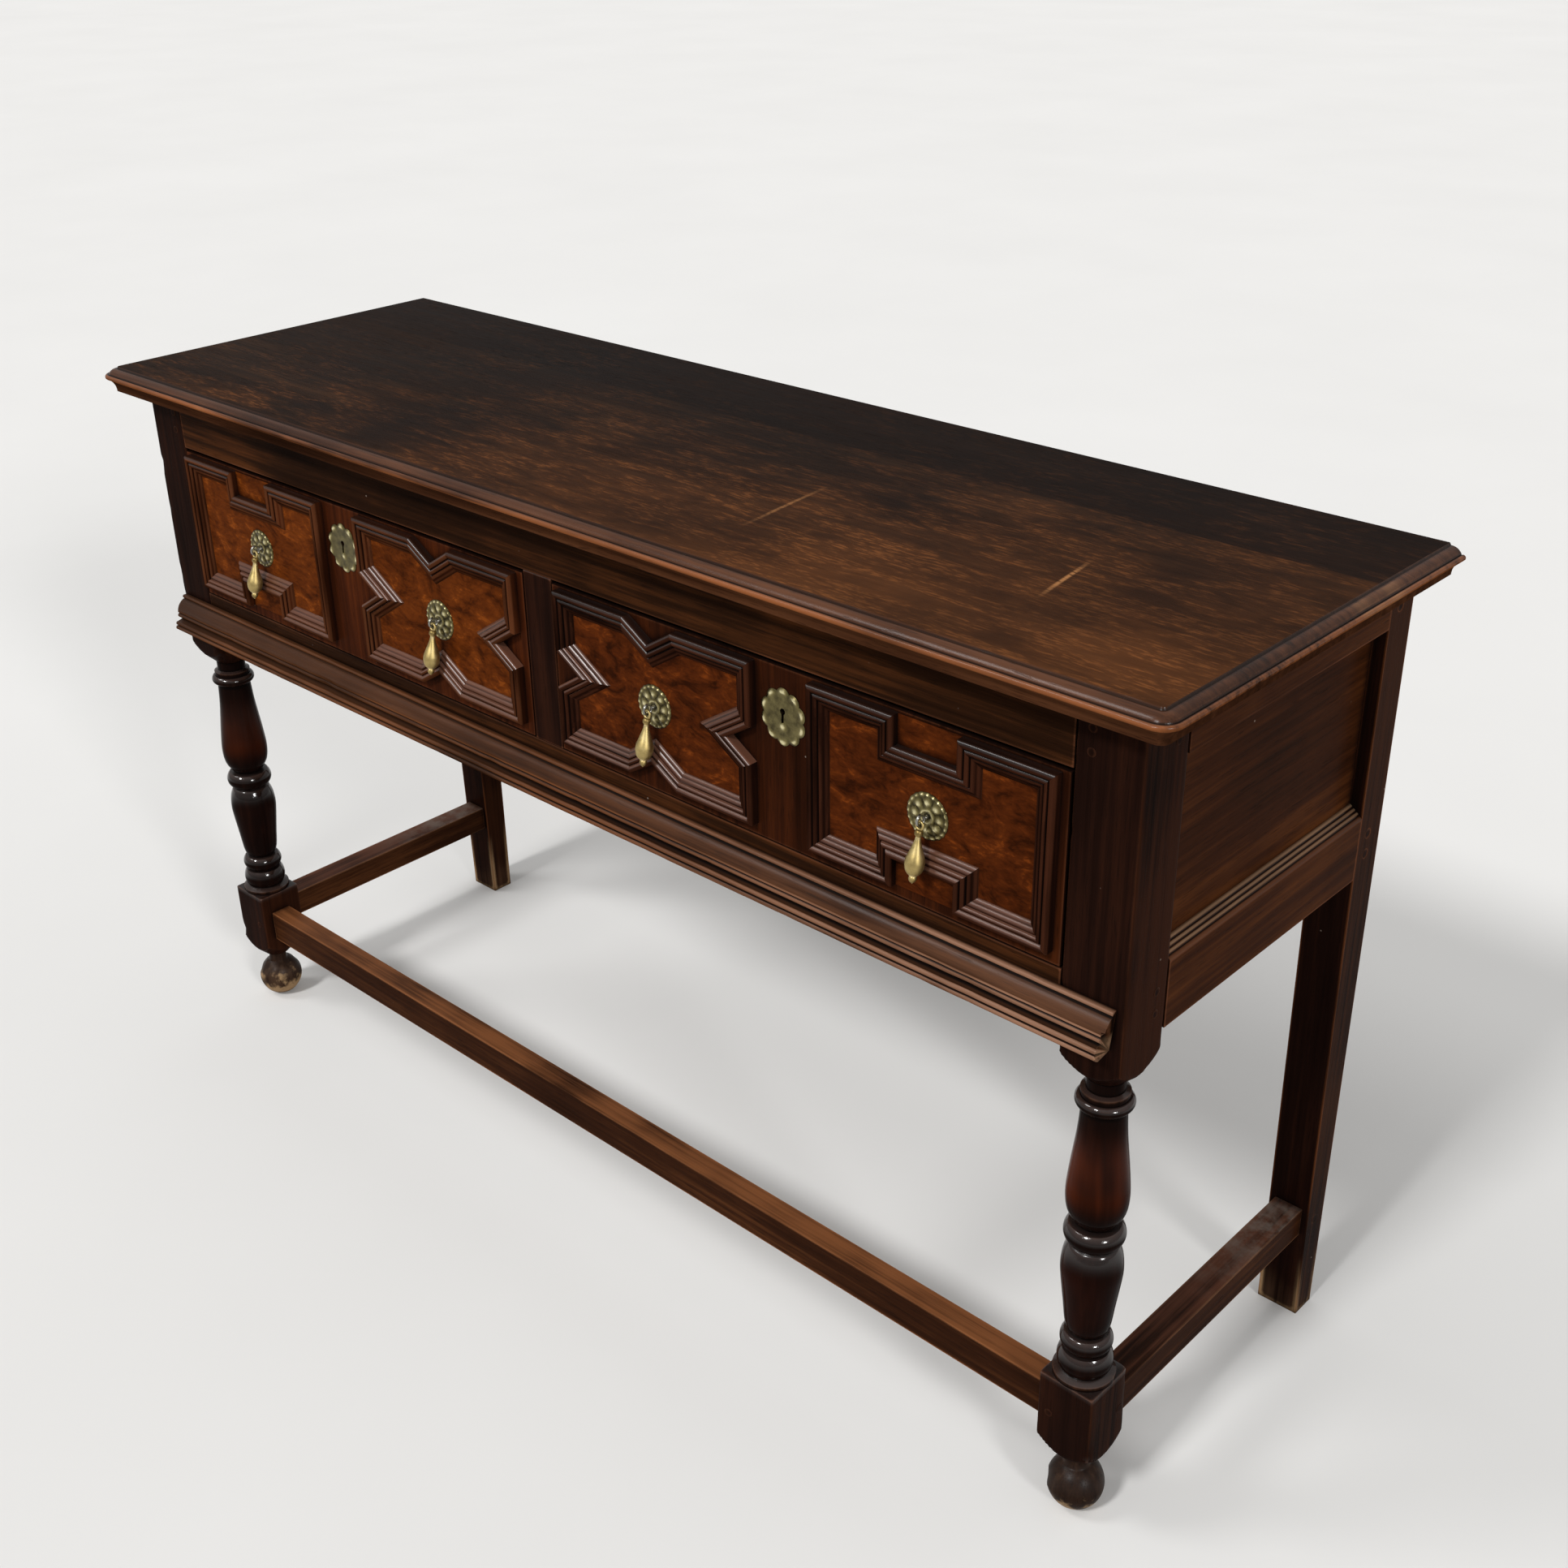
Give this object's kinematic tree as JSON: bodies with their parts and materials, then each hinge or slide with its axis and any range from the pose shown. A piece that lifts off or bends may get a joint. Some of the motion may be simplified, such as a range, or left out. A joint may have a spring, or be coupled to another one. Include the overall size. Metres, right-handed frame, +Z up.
{
  "type": "dresser base",
  "caption": "Long low dark oak dresser base: moulded plank top over drawers with mitred moulded fronts and brass drops, on turned front legs joined by low stretchers.",
  "frame": {"origin": "centre of the footprint, on the floor", "axes": "+X to the viewer's right along the length, +Y towards the back, +Z up; drawers open to -Y"},
  "size_m": [1.356, 0.428, 0.804],
  "materials": {
    "top_oak": "waxed and polished",
    "dark_oak": "waxed and polished",
    "moulding_oak": "waxed and polished",
    "figured_veneer": "waxed and polished",
    "inner_oak": "bare, darkened with age",
    "old_brass": "aged, rubbed bright on the high points",
    "lock_iron": "dark wrought iron"
  },
  "bodies": {
    "case": {"back_bottom_rail": "inner_oak", "back_leg_left": "dark_oak", "back_leg_right": "dark_oak", "back_muntin": "inner_oak", "back_panel_left": "inner_oak", "back_panel_right": "inner_oak", "back_top_rail": "inner_oak", "centre_bearer": "inner_oak", "centre_muntin": "dark_oak", "front_base_moulding": "moulding_oak", "front_bottom_rail": "dark_oak", "front_foot_left": "dark_oak", "front_foot_right": "dark_oak", "front_leg_left": "dark_oak", "front_leg_right": "dark_oak", "front_stretcher": "dark_oak", "front_top_rail": "dark_oak", "joint_pegs": "dark_oak", "side_bearer_left": "inner_oak", "side_bearer_right": "inner_oak", "side_bottom_rail_left": "dark_oak", "side_bottom_rail_right": "dark_oak", "side_moulding_left": "moulding_oak", "side_moulding_right": "moulding_oak", "side_panel_left": "dark_oak", "side_panel_right": "dark_oak", "side_stretcher_left": "dark_oak", "side_stretcher_right": "dark_oak", "side_top_rail_left": "dark_oak", "side_top_rail_right": "dark_oak", "top_back_board": "top_oak", "top_front_board": "top_oak"},
    "left_drawer_inner_drop": {"left_drawer_inner_drop": "old_brass"},
    "left_drawer_lock_bolt": {"left_drawer_lock_bolt": "lock_iron"},
    "left_drawer_outer_drop": {"left_drawer_outer_drop": "old_brass"},
    "right_drawer_inner_drop": {"right_drawer_inner_drop": "old_brass"},
    "right_drawer_lock_bolt": {"right_drawer_lock_bolt": "lock_iron"},
    "right_drawer_outer_drop": {"right_drawer_outer_drop": "old_brass"},
    "right_drawer": {"right_drawer_back": "inner_oak", "right_drawer_bottom": "inner_oak", "right_drawer_fields": "figured_veneer", "right_drawer_front": "dark_oak", "right_drawer_handle_fittings": "old_brass", "right_drawer_inner_side": "inner_oak", "right_drawer_key_plate": "old_brass", "right_drawer_lock_case": "lock_iron", "right_drawer_mouldings": "moulding_oak", "right_drawer_outer_side": "inner_oak"},
    "left_drawer": {"left_drawer_back": "inner_oak", "left_drawer_bottom": "inner_oak", "left_drawer_fields": "figured_veneer", "left_drawer_front": "dark_oak", "left_drawer_handle_fittings": "old_brass", "left_drawer_inner_side": "inner_oak", "left_drawer_key_plate": "old_brass", "left_drawer_lock_case": "lock_iron", "left_drawer_mouldings": "moulding_oak", "left_drawer_outer_side": "inner_oak"}
  },
  "joints": [
    {"name": "right_drawer_slide", "type": "slide", "parent": "case", "child": "right_drawer", "axis": [0, -1, 0], "range_m": [0, 0.24]},
    {"name": "right_lock_bolt_slide", "type": "slide", "parent": "right_drawer", "child": "right_drawer_lock_bolt", "axis": [0, 0, 1], "range_m": [0, 0.01]},
    {"name": "right_inner_drop_swing", "type": "hinge", "parent": "right_drawer", "child": "right_drawer_inner_drop", "pos_m": [0.1495, -0.189, 0.641], "axis": [-1, 0, 0], "range_deg": [0, 95]},
    {"name": "right_outer_drop_swing", "type": "hinge", "parent": "right_drawer", "child": "right_drawer_outer_drop", "pos_m": [0.453, -0.189, 0.641], "axis": [-1, 0, 0], "range_deg": [0, 95]},
    {"name": "left_drawer_slide", "type": "slide", "parent": "case", "child": "left_drawer", "axis": [0, -1, 0], "range_m": [0, 0.24]},
    {"name": "left_lock_bolt_slide", "type": "slide", "parent": "left_drawer", "child": "left_drawer_lock_bolt", "axis": [0, 0, 1], "range_m": [0, 0.01]},
    {"name": "left_inner_drop_swing", "type": "hinge", "parent": "left_drawer", "child": "left_drawer_inner_drop", "pos_m": [-0.1495, -0.189, 0.641], "axis": [-1, 0, 0], "range_deg": [0, 95]},
    {"name": "left_outer_drop_swing", "type": "hinge", "parent": "left_drawer", "child": "left_drawer_outer_drop", "pos_m": [-0.453, -0.189, 0.641], "axis": [-1, 0, 0], "range_deg": [0, 95]}
  ]
}
